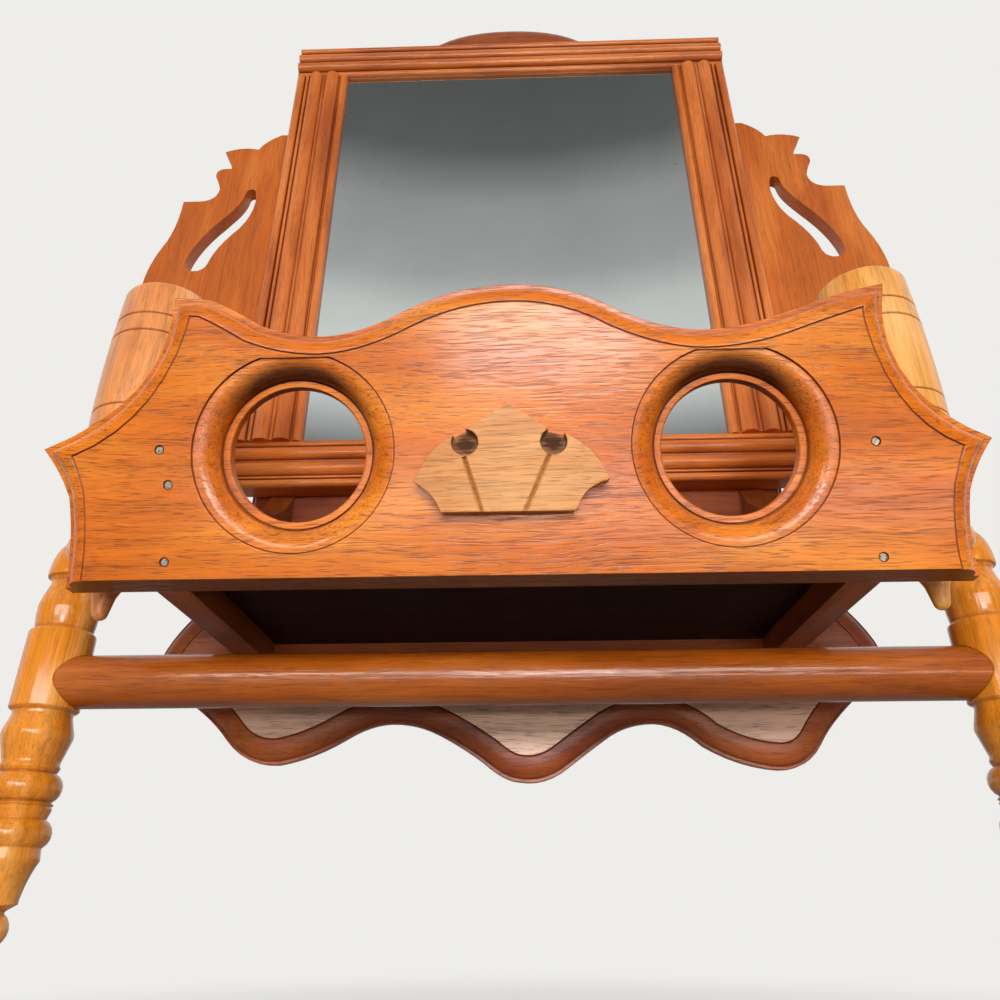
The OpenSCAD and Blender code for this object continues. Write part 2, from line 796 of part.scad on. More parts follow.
// Nails through the sides into the ends of the bottom board
module box_nails() {
    color(steel)
    for (side = [-1, 1], k = [0.2, 0.5, 0.8])
        translate([side * half_box, box_back - k * box_d, bottom_rise + bottom_t / 2])
            rotate([0, -side * 90, 0]) {
                cylinder(d = nail_d, h = nail_l, $fn = small_fn);
                translate([0, 0, -0.3]) cylinder(d = nail_head_d, h = nail_head_t, $fn = small_fn);
            }
}

// Turned parts

// A fine V groove at height z in a surface of radius r
function v_groove(r, z) = [[r, z - 0.7], [r - 0.9, z], [r, z + 0.7]];

// Radius of the cup's gently swelling barrel at share k of its height
function barrel_r(k) = cup_r * (0.93 + 0.07 * sin(180 * min(1, 0.12 + 0.85 * k)));

// Outside of a cup, from the drop's tip to the rim
function cup_profile() =
    let (f = cup_foot, h = barrel_h, gap = cup_foot - 32)
    concat(
        arc(0, cup_tip + 3.4, 3.4, -90, -20, 5),
        curve([5, 5], [8, 12], [11.5, 15]),
        [[13, 16.5]],
        arc(cup_ball_r - 6.5, cup_ball_z, 6.5, -80, 80, 8),
        [[12.5, 32.5]],
        curve([11, 34], [8.5, 32 + 0.4 * gap], [12, 32 + 0.7 * gap], 5),
        curve([14, f - 8], [15, f - 2], [cup_r * 0.9, f], 5),
        arc(cup_r * 0.91, f + 1.5, 0.9, -60, 0, 2),
        v_groove(barrel_r(0.115), f + 0.115 * h),
        v_groove(barrel_r(0.215), f + 0.215 * h),
        [for (k = [0.29:0.075:0.6]) [barrel_r(k), f + k * h]],
        v_groove(barrel_r(0.667), f + 0.667 * h),
        v_groove(barrel_r(0.781), f + 0.781 * h),
        [[barrel_r(0.86), f + 0.86 * h], [barrel_r(0.94), f + 0.94 * h]],
        arc(barrel_r(0.98) - 2.5, f + h - 2.5, 2.5, 10, 90, 4)
    );

module cup(side) {
    color(turned_brown)
    difference() {
        translate([side * cup_x, -cup_y, 0])
            rotate_extrude($fn = round_fn)
            polygon(concat([[0, cup_tip]], cup_profile(), [[0, cup_top]]));
        translate([side * cup_x, -cup_y, cup_top - cup_bore_h]) {
            cylinder(d = cup_bore_d, h = cup_bore_h + 1, $fn = round_fn);
            translate([0, 0, cup_bore_h - 1.2])
                cylinder(d1 = cup_bore_d, d2 = cup_bore_d + 2.6, h = 1.2 + eps, $fn = round_fn);
        }
        cup_peg_at(side) cylinder(d = cup_peg_d + 2 * joint_gap, h = cup_peg_l + joint_gap, $fn = round_fn);
    }
}

// A peg's place, from inside the box side outwards
module peg_at(side, y, z) {
    translate([side * (half_box - peg_in), -y, z]) rotate([0, side * 90, 0]) children();
}

cup_peg_l = cup_x - cup_ball_r + cup_peg_in - half_box + peg_in;
post_peg_l = post_x - half_box + peg_in;

module cup_peg_at(side) peg_at(side, cup_y, cup_peg_z) children();
module post_peg_at(side) peg_at(side, post_y, post_peg_z) children();

module left_cup() cup(-1);
module right_cup() cup(1);
module left_cup_peg() color(turned_brown) cup_peg_at(-1) cylinder(d = cup_peg_d, h = cup_peg_l, $fn = round_fn);
module right_cup_peg() color(turned_brown) cup_peg_at(1) cylinder(d = cup_peg_d, h = cup_peg_l, $fn = round_fn);

// Outside of a post, from its finial to its dome
function post_profile() =
    let (s = sleeve_r, t = post_top)
    concat(
        arc(0, post_foot + 7.5, 7.5, -90, 55, 8),
        [[4.6, post_foot + 14.5], [8.6, post_foot + 17], [8.6, post_foot + 19]],
        curve([9, post_foot + 21], [10.5, -104], [14.3, -98]),
        arc(s - 6.4, -89.5, 6.8, -55, 62, 6),
        [[s - 1.9, -79.2], [s - 2.4, -78.2], [s - 1.7, -77.4]],
        arc(s - 6.6, -70.3, 7, -58, 64, 7),
        [[s - 2.8, -62.8], [s - 2.4, -61.6], [s - 2.9, -60.4]],
        [[s - 3, -59.6]],
        curve([s - 2.5, -57.6], [s - 0.9, -52], [s, -48.6], 4),
        curve([s + 0.1, -48], [s - 0.1, -45], [s - 1.9, -41], 4),
        [[s - 2.2, sleeve_foot - 2.4], [s - 2, sleeve_foot - 0.8]],
        [[s - 0.6, sleeve_foot], [s, sleeve_foot + 0.7]],
        arc(s - 2, sleeve_top - 2.2, 2, 0, 75, 4),
        [[s - 2.2, sleeve_top + 0.6], [s - 1.9, sleeve_top + 1.2]],
        curve([s - 1.7, sleeve_top + 2.4], [s - 1.2, 7], [s - 1, 12.5], 3),
        curve([s - 1, 13], [s - 2, 19], [s - 4.2, 24.4], 4),
        [[s - 4.4, 26.2], [s - 3.4, 27.8], [s - 2, 28.4]],
        curve([s - 1.7, 29.5], [s - 2, t - 2.6], [5, t - 0.8], 7),
        [[2.5, t - 0.1]]
    );

module post(side) {
    color(turned_brown)
    difference() {
        translate([side * post_x, -post_y, 0])
            rotate_extrude($fn = round_fn)
            polygon(concat(post_profile(), [[0, post_top]]));
        translate([side * rail_half, -post_y, -rail_drop]) rotate([0, -side * 90, 0])
            cylinder(d = towel_d + 2 * turn_gap, h = 2 * sleeve_d, $fn = round_fn);
        post_peg_at(side) cylinder(d = post_peg_d + 2 * joint_gap, h = post_peg_l + joint_gap, $fn = round_fn);
    }
}

module left_post() post(-1);
module right_post() post(1);
module left_post_peg() color(turned_brown) post_peg_at(-1) cylinder(d = post_peg_d, h = post_peg_l, $fn = round_fn);
module right_post_peg() color(turned_brown) post_peg_at(1) cylinder(d = post_peg_d, h = post_peg_l, $fn = round_fn);

module towel_rail() {
    color(turned_brown)
    translate([-rail_half + end_gap, -post_y, -rail_drop]) rotate([0, 90, 0])
        cylinder(d = towel_d, h = 2 * (rail_half - end_gap), $fn = 64);
}

// Hangers on the backs of the ears: a plate let in flush, with a keyhole over a pocket

module hanger_at(side) {
    translate([side * hanger_x, 0, hanger_z]) rotate([90, 0, 0]) children();
}

module hanger_outline(grow) {
    r = hanger_plate_w / 2 + grow;
    rise = (hanger_l - hanger_plate_w) / 2;
    translate([0, hanger_rise / 2])
        polygon(concat(arc(0, rise, r, 0, 180, 12), arc(0, -rise, r, 180, 360, 12)));
}

module hanger_recess() {
    hanger_at(1) {
        translate([0, 0, -1]) linear_extrude(hanger_t + 1) hanger_outline(joint_gap);
        translate([-hanger_hole_d / 2 - 1, -hanger_hole_d / 2 - 1, 0])
            cube([hanger_hole_d + 2, hanger_rise + hanger_hole_d + 2, hanger_pocket_d]);
    }
}

module hanger(side) {
    color(brass)
    hanger_at(side) difference() {
        linear_extrude(hanger_t) hanger_outline(0);
        translate([0, 0, -1]) cylinder(d = hanger_hole_d, h = hanger_t + 2, $fn = round_fn);
        translate([-hanger_slot_d / 2, 0, -1]) cube([hanger_slot_d, hanger_rise, hanger_t + 2]);
        translate([0, hanger_rise, -1]) cylinder(d = hanger_slot_d, h = hanger_t + 2, $fn = round_fn);
        at_hanger_screws() translate([0, 0, -eps])
            cylinder(d1 = 2 * small_screw_d, d2 = small_screw_d, h = hanger_t + 2 * eps, $fn = small_fn);
    }
}

module at_hanger_screws() {
    for (k = [-1, 1]) translate([0, hanger_rise / 2 + k * (hanger_l / 2 - 5), 0]) children();
}

module left_hanger() hanger(-1);
module right_hanger() hanger(1);

module hanger_screws() {
    color(brass)
    for (side = [-1, 1]) hanger_at(side) at_hanger_screws() {
        cylinder(d1 = 2 * small_screw_d, d2 = small_screw_d, h = hanger_t, $fn = small_fn);
        cylinder(d = small_screw_d, h = small_screw_l, $fn = small_fn);
    }
}

left_stile();
right_stile();
bottom_rail();
top_rail();
mirror_glass();
mirror_backing();
backing_pins();
left_ear();
right_ear();
apron_board();
crest_board();
board_screws();
front_panel();
ornament();
panel_nails();
left_box_side();
right_box_side();
box_bottom();
box_nails();
box_screws();
left_cup();
right_cup();
left_cup_peg();
right_cup_peg();
left_post();
right_post();
left_post_peg();
right_post_peg();
towel_rail();
left_hanger();
right_hanger();
hanger_screws();
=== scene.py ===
# Looks of a wall-hung shaving mirror: varnished wood, looking glass, nails, hangers, and a plain stage.
# All lengths are metres unless a name ends in _mm. Patterns are drawn in millimetres.

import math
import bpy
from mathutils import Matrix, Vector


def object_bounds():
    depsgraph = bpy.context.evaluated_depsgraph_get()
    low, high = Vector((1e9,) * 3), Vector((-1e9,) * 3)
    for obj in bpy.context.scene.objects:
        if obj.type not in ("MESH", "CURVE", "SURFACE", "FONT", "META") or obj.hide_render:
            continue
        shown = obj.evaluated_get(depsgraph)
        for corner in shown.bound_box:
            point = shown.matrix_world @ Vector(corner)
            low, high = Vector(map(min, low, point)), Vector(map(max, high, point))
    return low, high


bl_info = {
    "name": "Shaving mirror looks",
    "version": (1, 0, 0),
    "blender": (4, 5, 0),
    "location": "3D View > Sidebar > Shaving mirror",
    "description": "Dresses the shaving mirror's parts and sets up its stage",
    "category": "Object",
}

import bmesh
import bpy
from mathutils import Matrix, Vector

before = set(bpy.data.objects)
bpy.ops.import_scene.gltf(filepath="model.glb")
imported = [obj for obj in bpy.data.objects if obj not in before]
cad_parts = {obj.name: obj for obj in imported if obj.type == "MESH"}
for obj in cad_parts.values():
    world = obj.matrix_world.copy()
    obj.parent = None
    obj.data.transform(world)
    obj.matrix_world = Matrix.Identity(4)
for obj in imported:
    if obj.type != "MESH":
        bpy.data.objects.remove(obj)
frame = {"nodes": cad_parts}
CAD_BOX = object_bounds()
NODES = frame["nodes"]
MM = 0.001
# Points closer than this are one, and edges sharper than this stay sharp where curves are shaded smooth
WELD_REACH = 2e-6
SHARP_DEG = 34

# The front panel's lean and thickness, and how far out from the wall the comb box's front foot stands
PANEL_LEAN_DEG = 20.5
PANEL_T_MM = 13
BOX_FRONT_MM = 130

# The ornament's bored notches: places across and up the panel, radius, and how far out their middles lie
NOTCHES_MM = ((-19, 52.7), (16.4, 52.5))
NOTCH_R_MM = 5.4
NOTCH_OUT_MM = 17.5

# The apron's flat face lies just beyond this Y, and its painted sheen fades in below this Z, away from the
# comb box's shadow
APRON_FACE_Y = -9.75 * MM
SHEEN_TOP_Z = -12 * MM
SHEEN_FADE = 12 * MM

# Backdrop and far floor
PALE = "#eeedea"

# Groups of like pieces
FRAME_UPRIGHT = ("left_stile", "right_stile")
FRAME_ACROSS = ("bottom_rail", "top_rail")
BOX_SIDES = ("left_box_side", "right_box_side")
POSTS = ("left_post", "right_post", "left_post_peg", "right_post_peg")
HANGERS = ("left_hanger", "right_hanger", "hanger_screws")


def linear(hex_colour):
    """Linear RGBA from an sRGB hex colour such as #c06a28."""
    values = [int(hex_colour[i:i + 2], 16) / 255 for i in (1, 3, 5)]
    return tuple(v / 12.92 if v <= 0.04045 else ((v + 0.055) / 1.055) ** 2.4 for v in values) + (1.0,)


def grey(value):
    """Linear RGBA of a grey."""
    return (value, value, value, 1.0)


def add(tree, kind, inputs=None, out=0, stops=(), **settings):
    """Adds a node and returns one of its outputs, if it has any.

    inputs give each socket a value or another node's output, stops are a colour ramp's, and the rest are
    the node's own settings.
    """
    node = tree.nodes.new(kind)
    for key, value in settings.items():
        setattr(node, key, value)
    for key, value in (inputs or {}).items():
        if isinstance(value, bpy.types.NodeSocket):
            tree.links.new(value, node.inputs[key])
        else:
            node.inputs[key].default_value = value
    if stops:
        elements = node.color_ramp.elements
        while len(elements) < len(stops):
            elements.new(0.5)
        for element, (position, colour) in zip(elements, stops):
            element.position = position
            element.color = colour
    return node.outputs[out] if node.outputs else None


def new_material(name):
    """An empty material and its node tree."""
    material = bpy.data.materials.new(name)
    material.use_nodes = True
    material.node_tree.nodes.clear()
    return material, material.node_tree


def lengthways(axis, stretch):
    """Scale that draws a pattern out along one axis."""
    return tuple(1 / stretch if letter == axis else 1.0 for letter in "XYZ")


def grain_patterns(tree, place, axis, seed):
    """A wood's patterns along one axis: figure, streaks, fibres, open pores and the varnish's brushing."""
    # Millimetres from here on, moved so that no two pieces show the same grain
    mm = add(tree, "ShaderNodeMapping", {"Vector": place, "Scale": (1000, 1000, 1000),
                                         "Location": (137 * seed, 71 * seed, 53 * seed)})
    # The grain wanders by a millimetre or two
    drift = add(tree, "ShaderNodeTexNoise", {"Vector": mm, "Scale": 1 / 70, "Detail": 1.0}, "Color")
    grain = add(tree, "ShaderNodeVectorMath", {0: drift, 1: (6, 6, 6), 2: mm}, operation="MULTIPLY_ADD")
    broad_space = add(tree, "ShaderNodeMapping", {"Vector": grain, "Scale": lengthways(axis, 5)})
    streak_space = add(tree, "ShaderNodeMapping", {"Vector": grain, "Scale": lengthways(axis, 22)})
    fibre_space = add(tree, "ShaderNodeMapping", {"Vector": grain, "Scale": lengthways(axis, 40)})
    pore_space = add(tree, "ShaderNodeMapping", {"Vector": grain, "Scale": lengthways(axis, 24)})
    # Soft figure about 25 mm across, and growth streaks about 4 mm across
    broad = add(tree, "ShaderNodeTexNoise",
                {"Vector": broad_space, "Scale": 1 / 25, "Detail": 2.0, "Roughness": 0.55})
    streaks = add(tree, "ShaderNodeTexNoise",
                  {"Vector": streak_space, "Scale": 1 / 4, "Detail": 3.0, "Roughness": 0.6})
    # Fibres; real ones are 0.05 mm wide, drawn at about 0.6 mm so that they show
    fibres = add(tree, "ShaderNodeTexNoise",
                 {"Vector": fibre_space, "Scale": 1 / 1.2, "Detail": 2.0, "Roughness": 0.6})
    # Open pores cut lengthways; real ones are 0.2 mm wide, drawn at about 0.3 mm so that they show
    cells = add(tree, "ShaderNodeTexNoise",
                {"Vector": pore_space, "Scale": 1 / 0.5, "Detail": 1.0, "Roughness": 0.5})
    crowd = add(tree, "ShaderNodeMath", {0: streaks, 1: 0.3, 2: 0.4}, operation="MULTIPLY_ADD")
    depth = add(tree, "ShaderNodeMath", {0: cells, 1: crowd}, operation="SUBTRACT")
    pores = add(tree, "ShaderNodeMath", {0: depth, 1: 9.0}, operation="MULTIPLY", use_clamp=True)
    # Brush marks about 2.5 mm across
    brushing = add(tree, "ShaderNodeTexNoise", {"Vector": pore_space, "Scale": 1 / 2.5, "Detail": 3.0})
    return broad, streaks, fibres, pores, brushing


def painted_sheen_face(tree, place, colour, sheen_tone):
    """Painted sheen: pales the apron's foremost flat below the comb box, fading out towards the box, where
    its shadow falls.
    """
    along = add(tree, "ShaderNodeSeparateXYZ", {0: place}).node.outputs
    flat = add(tree, "ShaderNodeMath", {0: along["Y"], 1: APRON_FACE_Y}, operation="LESS_THAN")
    low = add(tree, "ShaderNodeMapRange",
              {"Value": along["Z"], "From Min": SHEEN_TOP_Z, "From Max": SHEEN_TOP_Z - SHEEN_FADE})
    flat = add(tree, "ShaderNodeMath", {0: flat, 1: low}, operation="MULTIPLY")
    return add(tree, "ShaderNodeMix", {0: flat, 6: colour, 7: sheen_tone}, 2, data_type="RGBA")


def shade_and_stain_in_hollows(tree, colour, hollow_shade_and_stain):
    """Painted shade and stain that darken hollows and quirks within 4 mm, where ambient occlusion finds
    them.
    """
    shade = add(tree, "ShaderNodeAmbientOcclusion", {"Distance": 4 * MM}, "AO", samples=6, only_local=True)
    hollow = add(tree, "ShaderNodeMapRange",
                 {"Value": shade, "From Min": 0.85, "From Max": 0.4, "To Min": 0.0, "To Max": hollow_shade_and_stain})
    shaded_and_stained = add(tree, "ShaderNodeMix", {0: 1.0, 6: colour, 7: linear("#70381a")}, 2, data_type="RGBA",
                  blend_type="MULTIPLY")
    return add(tree, "ShaderNodeMix", {0: hollow, 6: colour, 7: shaded_and_stained}, 2, data_type="RGBA")


def painted_underside_shade(tree, colour, under):
    """Painted shade on faces that look down."""
    facing = add(tree, "ShaderNodeTexCoord", out="Normal")
    down = add(tree, "ShaderNodeSeparateXYZ", {0: facing}, "Z")
    below = add(tree, "ShaderNodeMapRange",
                {"Value": down, "From Min": -0.5, "From Max": -0.85, "To Min": 0.0, "To Max": under})
    return add(tree, "ShaderNodeMix", {0: below, 6: colour, 7: linear("#45291c")}, 2, data_type="RGBA",
               blend_type="MULTIPLY")


def torn_spot(tree, place, fibres, at):
    """How torn the wood is about a bored notch: 0.9 at its middle, ragged at its edge, 0 beyond."""
    radius = NOTCH_R_MM * MM
    way = add(tree, "ShaderNodeVectorMath", {0: place, 1: at}, "Value", operation="DISTANCE")
    ragged = add(tree, "ShaderNodeMath", {0: fibres, 1: 0.9 * radius, 2: way}, operation="MULTIPLY_ADD")
    return add(tree, "ShaderNodeMapRange",
               {"Value": ragged, "From Min": 1.1 * radius, "From Max": 1.6 * radius, "To Min": 0.9,
                "To Max": 0.0})


def varnished_wood(name, axis, tones, seed, pore=1.0, streak=1.0, gloss=0.7, coat_rough=0.18, hollow_shade_and_stain=0.8,
                   under=0.0, sheen_tone=None, torn_at=()):
    """Reddish hardwood under a brushed varnish, with its grain along one axis.

    tones are linear colours: dark figure, body, light figure and pore. pore, streak, hollow_shade_and_stain
    and under say how strongly the pores, the streaks, the painted shade and stain in the hollows, and the
    painted shade on faces that look down show. sheen_tone is the paler colour painted on the apron's face as
    sheen, and torn_at has the middles of bored notches.
    """
    dark, body, light, pore_tone = tones
    material, tree = new_material(name)
    place = add(tree, "ShaderNodeTexCoord", out="Object")
    broad, streaks, fibres, pores, brushing = grain_patterns(tree, place, axis, seed)
    colour = add(tree, "ShaderNodeValToRGB", {"Fac": broad}, stops=((0.3, dark), (0.5, body), (0.7, light)))
    # Painted sheen on the apron's flat face
    if sheen_tone:
        colour = painted_sheen_face(tree, place, colour, sheen_tone)
    line = add(tree, "ShaderNodeValToRGB", {"Fac": streaks},
               stops=((0.3, grey(0.78)), (0.5, grey(1.0)), (0.72, grey(1.1))))
    colour = add(tree, "ShaderNodeMix", {0: 0.75 * streak, 6: colour, 7: line}, 2, data_type="RGBA",
                 blend_type="MULTIPLY")
    thread = add(tree, "ShaderNodeValToRGB", {"Fac": fibres},
                 stops=((0.32, grey(0.8)), (0.52, grey(1.0)), (0.72, grey(1.1))))
    colour = add(tree, "ShaderNodeMix", {0: 0.8, 6: colour, 7: thread}, 2, data_type="RGBA",
                 blend_type="MULTIPLY")
    inked = add(tree, "ShaderNodeMath", {0: pores, 1: 0.6 * pore}, operation="MULTIPLY")
    colour = add(tree, "ShaderNodeMix", {0: inked, 6: colour, 7: pore_tone}, 2, data_type="RGBA")
    # Painted shade, with stain, darkens the hollows and quirks
    colour = shade_and_stain_in_hollows(tree, colour, hollow_shade_and_stain)
    # Painted shade darkens faces that look down
    if under:
        colour = painted_underside_shade(tree, colour, under)
    coat = gloss
    for at in torn_at:
        # Torn fibres are dark and have no gloss
        spot = torn_spot(tree, place, fibres, at)
        colour = add(tree, "ShaderNodeMix", {0: spot, 6: colour, 7: linear("#2c1208")}, 2, data_type="RGBA")
        coat = add(tree, "ShaderNodeMath", {0: spot, 1: -gloss, 2: coat}, operation="MULTIPLY_ADD",
                   use_clamp=True)
    # Height: pores sink, fibres ripple, and the brushed varnish runs along the grain
    height = add(tree, "ShaderNodeMath", {0: brushing, 1: 0.5, 2: fibres}, operation="MULTIPLY_ADD")
    height = add(tree, "ShaderNodeMath", {0: pores, 1: -0.8 * pore, 2: height}, operation="MULTIPLY_ADD")
    round_off = add(tree, "ShaderNodeBevel", {"Radius": 0.6 * MM}, samples=6)
    bump = add(tree, "ShaderNodeBump",
               {"Height": height, "Normal": round_off, "Strength": 0.5, "Distance": 0.12 * MM})
    # The varnish fills the wood's own surface, which is left with almost no gloss
    rough = add(tree, "ShaderNodeMath", {0: fibres, 1: 0.3, 2: 0.35}, operation="MULTIPLY_ADD")
    surface = add(tree, "ShaderNodeBsdfPrincipled",
                  {"Base Color": colour, "Roughness": rough, "Normal": bump, "Coat Normal": bump, "IOR": 1.5,
                   "Specular IOR Level": 0.06, "Coat Weight": coat,
                   "Coat Roughness": coat_rough, "Coat IOR": 1.52})
    add(tree, "ShaderNodeOutputMaterial", {"Surface": surface})
    return material


def dress(node, material):
    """Gives a CAD node its material and shades its curves smooth, with sharp edges kept."""
    piece = NODES[node]
    mesh = piece.data
    mesh.materials.clear()
    mesh.materials.append(material)
    mesh.polygons.foreach_set("use_smooth", [True] * len(mesh.polygons))
    weld = piece.modifiers.new("weld", "WELD")
    weld.merge_threshold = WELD_REACH
    split = piece.modifiers.new("split", "EDGE_SPLIT")
    split.split_angle = math.radians(SHARP_DEG)
    split.use_edge_sharp = False


# Settings that a user would change

class WoodColours(bpy.types.PropertyGroup):
    panel: bpy.props.FloatVectorProperty(
        name="Panel wood", description="Body colour of the front panel", subtype="COLOR", size=3,
        default=linear("#dc7210")[:3], min=0, max=1)
    frame: bpy.props.FloatVectorProperty(
        name="Frame wood", description="Body colour of the mirror frame", subtype="COLOR", size=3,
        default=linear("#dd7830")[:3], min=0, max=1)
    ears: bpy.props.FloatVectorProperty(
        name="Ear wood", description="Body colour of the ears", subtype="COLOR", size=3,
        default=linear("#c9641c")[:3], min=0, max=1)
    posts: bpy.props.FloatVectorProperty(
        name="Post wood", description="Body colour of the posts", subtype="COLOR", size=3,
        default=linear("#e88c22")[:3], min=0, max=1)


class StageSettings(bpy.types.PropertyGroup):
    strip_power: bpy.props.FloatProperty(
        name="Strip lamp", description="Power of the wide lamp in front", unit="POWER", default=26.0, min=0)
    patch_power: bpy.props.FloatProperty(
        name="Patch lamp", description="Power of the small lamp whose gloss lies on the panel", unit="POWER",
        default=4.5, min=0)
    low_power: bpy.props.FloatProperty(
        name="Low lamp", description="Power of the lamp that shines in under the towel rail", unit="POWER",
        default=0.4, min=0)
    floor_drop: bpy.props.FloatProperty(
        name="Floor drop", description="Height of the lowest finial above the floor", unit="LENGTH",
        default=0.09, min=0)
    lens: bpy.props.FloatProperty(
        name="Lens", description="Focal length on a 36 mm sensor", unit="CAMERA", default=28.08, min=1)


def body_of(colour):
    """Linear RGBA of a colour setting."""
    return tuple(colour) + (1.0,)


def on_panel(x, s, h):
    """A place in metres from millimetres across the panel, up its slant and out from its back."""
    lean = math.radians(PANEL_LEAN_DEG)
    foot_y = -BOX_FRONT_MM - PANEL_T_MM / math.cos(lean) + PANEL_T_MM * math.cos(lean)
    foot_z = PANEL_T_MM * math.sin(lean)
    y = foot_y - s * math.sin(lean) - h * math.cos(lean)
    z = foot_z + s * math.cos(lean) - h * math.sin(lean)
    return x * MM, y * MM, z * MM


# Operators, one for each piece or group of like pieces

class DressPanel(bpy.types.Operator):
    """Varnish the slanted front panel and its fan-shaped ornament"""
    bl_idname = "shaving_mirror.dress_panel"
    bl_label = "Front panel"

    def execute(self, context):
        body = body_of(context.scene.mirror_woods.panel)
        # Varnished mahogany, sawn flat: short dark pores, and ripples that break up a broad gloss; painted
        # shade darkens its faces that look down
        wood = varnished_wood("varnished mahogany, front panel", "X",
                              (linear("#cf640c"), body, linear("#f08e2a"), linear("#6e2c06")),
                              seed=1, gloss=0.75, coat_rough=0.17, under=0.9)
        dress("front_panel", wood)
        # The same wood paler and less shiny, with torn dark fibres where its notches were bored
        notches = [on_panel(x, s, NOTCH_OUT_MM) for x, s in NOTCHES_MM]
        fan = varnished_wood("varnished mahogany, ornament", "X",
                             (linear("#cc7f3a"), linear("#dd9552"), linear("#eeb070"), linear("#84451c")),
                             seed=4, pore=0.8, gloss=0.45, coat_rough=0.32, torn_at=notches)
        dress("ornament", fan)
        return {"FINISHED"}


class DressFrame(bpy.types.Operator):
    """Varnish the reeded mirror frame"""
    bl_idname = "shaving_mirror.dress_frame"
    bl_label = "Mirror frame"

    def execute(self, context):
        # Varnished mahogany, moulded: pores run along the reeds, and painted shade with stain darkens the
        # hollows between them
        tones = (linear("#b4561c"), body_of(context.scene.mirror_woods.frame), linear("#e68642"),
                 linear("#5c240a"))
        upright = varnished_wood("varnished mahogany, stiles", "Z", tones, seed=2, pore=0.45, streak=0.6)
        across = varnished_wood("varnished mahogany, rails", "X", tones, seed=3, pore=0.45, streak=0.6)
        for node in FRAME_UPRIGHT:
            dress(node, upright)
        for node in FRAME_ACROSS:
            dress(node, across)
        return {"FINISHED"}


class DressBackBoards(bpy.types.Operator):
    """Varnish the ears, the apron board and the crest board"""
    bl_idname = "shaving_mirror.dress_back_boards"
    bl_label = "Back boards"

    def execute(self, context):
        ear_body = body_of(context.scene.mirror_woods.ears)
        # Varnished mahogany, fret-sawn: upright grain with broad mottled figure
        for seed, node in ((5, "left_ear"), (15, "right_ear")):
            ear = varnished_wood("varnished mahogany, " + node.replace("_", " "), "Z",
                                 (linear("#bd5f1e"), ear_body, linear("#dc7c30"), linear("#6c2c0c")),
                                 seed=seed, pore=0.45, streak=0.7, gloss=0.5, coat_rough=0.26)
            dress(node, ear)
        # Varnished mahogany, sawn and moulded: the darkest boards, whose stain hides most of the figure
        tones = (linear("#83391a"), linear("#9e4a1e"), linear("#b55f2a"), linear("#48190a"))
        # Painted sheen: the apron's flat face is painted paler below the comb box, and fades out towards the
        # box, where its shadow falls
        apron = varnished_wood("varnished mahogany, apron with painted sheen", "X", tones, seed=6, pore=0.7, gloss=0.55,
                               coat_rough=0.3, sheen_tone=linear("#ffd2b4"))
        dress("apron_board", apron)
        dress("crest_board", varnished_wood("varnished mahogany, crest", "X", tones, seed=16))
        return {"FINISHED"}


class DressBox(bpy.types.Operator):
    """Varnish the comb box's sides and bottom"""
    bl_idname = "shaving_mirror.dress_box"
    bl_label = "Comb box"

    def execute(self, context):
        # Varnished mahogany, planed: a thin coat, because little of it shows
        side = varnished_wood("varnished mahogany, box sides", "Y",
                              (linear("#6e2f12"), linear("#93491d"), linear("#aa5c2a"), linear("#45190a")),
                              seed=7, pore=0.8, gloss=0.5, coat_rough=0.28)
        for node in BOX_SIDES:
            dress(node, side)
        # The same wood in darker colours, as painted shade underneath, with more painted shade on faces that
        # look down, and hardly any gloss left
        bottom = varnished_wood("varnished mahogany, box bottom in painted shade", "X",
                                (linear("#431b0a"), linear("#57260f"), linear("#673216"), linear("#2a0e05")),
                                seed=8, gloss=0.08, coat_rough=0.3, under=0.9)
        dress("box_bottom", bottom)
        return {"FINISHED"}


class DressCups(bpy.types.Operator):
    """Varnish the turned cups and their pegs"""
    bl_idname = "shaving_mirror.dress_cups"
    bl_label = "Cups"

    def execute(self, context):
        # Paler close-grained hardwood, turned: long streaks, few pores, and scored lines darkened by painted
        # shade and stain
        golden = varnished_wood("varnished hardwood, golden cup", "Z",
                                (linear("#e8963c"), linear("#f4a850"), linear("#ffc984"), linear("#94561e")),
                                seed=9, pore=0.45, streak=1.3, gloss=0.7, coat_rough=0.2)
        # The same turned wood under a redder varnish
        red = varnished_wood("varnished hardwood, red cup", "Z",
                             (linear("#bc6630"), linear("#ec9854"), linear("#fab27c"), linear("#7a3c1c")),
                             seed=10, pore=0.45, streak=1.1, gloss=0.7, coat_rough=0.22)
        for node in ("right_cup", "right_cup_peg"):
            dress(node, golden)
        for node in ("left_cup", "left_cup_peg"):
            dress(node, red)
        return {"FINISHED"}


class DressPosts(bpy.types.Operator):
    """Varnish the turned posts, their pegs and the towel rail"""
    bl_idname = "shaving_mirror.dress_posts"
    bl_label = "Posts and towel rail"

    def execute(self, context):
        # Golden close-grained hardwood, turned and thickly varnished: wet-looking lines of gloss
        post_body = body_of(context.scene.mirror_woods.posts)
        golden = varnished_wood("varnished hardwood, posts", "Z",
                                (linear("#d9841c"), post_body, linear("#fab45e"), linear("#8a4e1a")),
                                seed=11, pore=0.6, streak=1.2, gloss=0.85, coat_rough=0.14)
        for node in POSTS:
            dress(node, golden)
        # Varnished mahogany dowel: darker, with long streaks
        rail = varnished_wood("varnished mahogany, towel rail", "X",
                              (linear("#88400c"), linear("#a85210"), linear("#c26a24"), linear("#5a2406")),
                              seed=12, pore=0.7, gloss=0.85, coat_rough=0.13)
        dress("towel_rail", rail)
        return {"FINISHED"}


